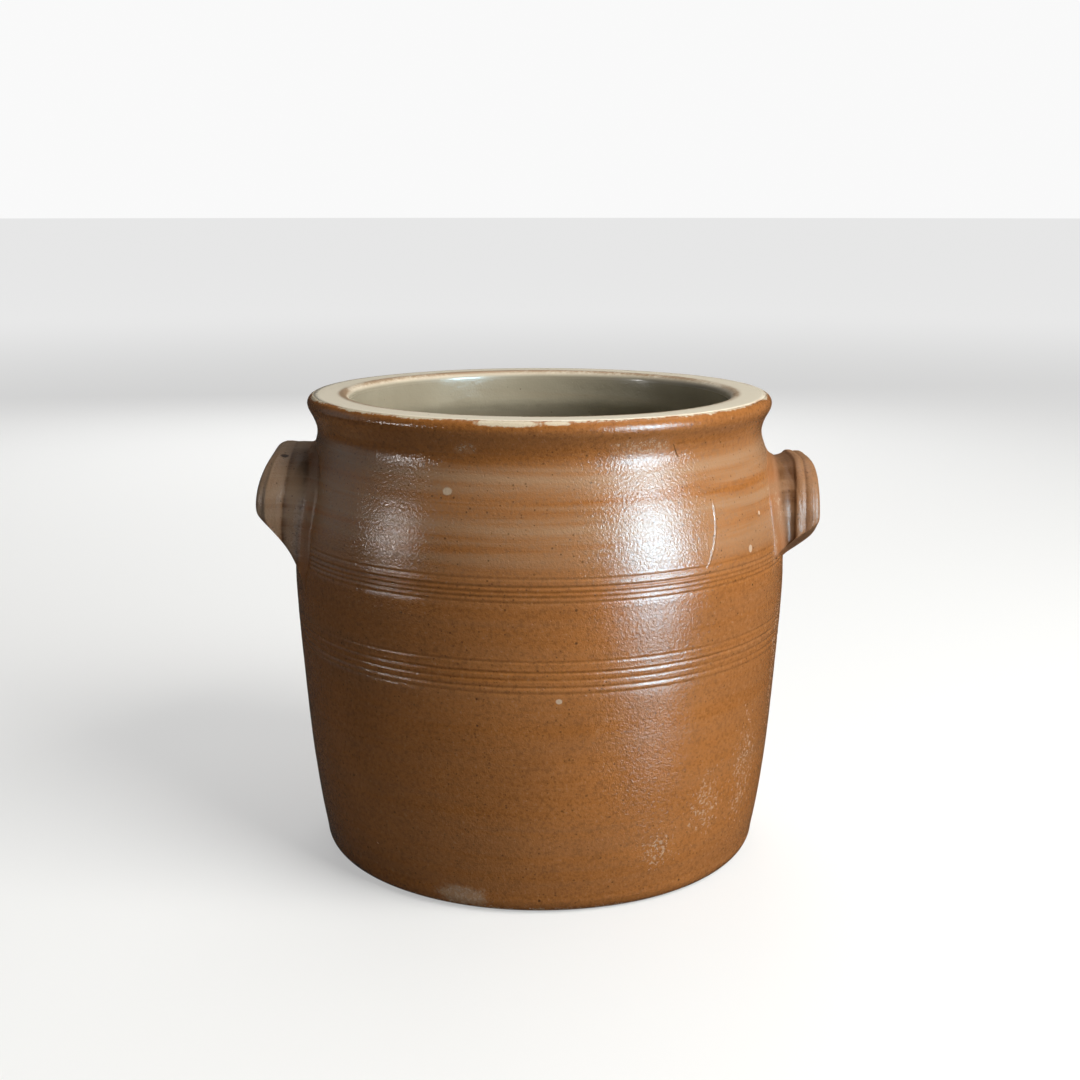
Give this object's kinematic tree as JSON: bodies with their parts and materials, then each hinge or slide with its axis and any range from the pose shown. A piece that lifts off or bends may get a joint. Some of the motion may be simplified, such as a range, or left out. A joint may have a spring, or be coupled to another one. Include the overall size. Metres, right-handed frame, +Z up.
{
  "type": "crock",
  "caption": "Squat stoneware crock with a thick flat rim, a glazed inside and two arched ears, for keeping butter or fat.",
  "frame": {"origin": "centre of the flat base, on the surface that the crock stands on", "axes": "+Z up out of the mouth, X through the two ears with the rounder ear at -X, -Y towards the front"},
  "size_m": [0.2659, 0.2352, 0.22],
  "materials": {
    "salt_glazed_stoneware": "orange-brown salt glaze on stoneware, satin with a fine orange-peel grain and iron specks",
    "ear_stoneware": "salt-glazed stoneware strap, greyer brown and drier on its ridges",
    "liner_glaze": "glossy grey-beige feldspar glaze, thinner and browner at the rim's edges",
    "luting_slip": "fired clay slip, matt, mostly hidden under the ears"
  },
  "bodies": {
    "root": {"crock_body": "salt_glazed_stoneware", "liner_glaze": "liner_glaze", "left_ear": "ear_stoneware", "right_ear": "ear_stoneware", "left_ear_slip": "luting_slip", "right_ear_slip": "luting_slip"}
  },
  "joints": []
}
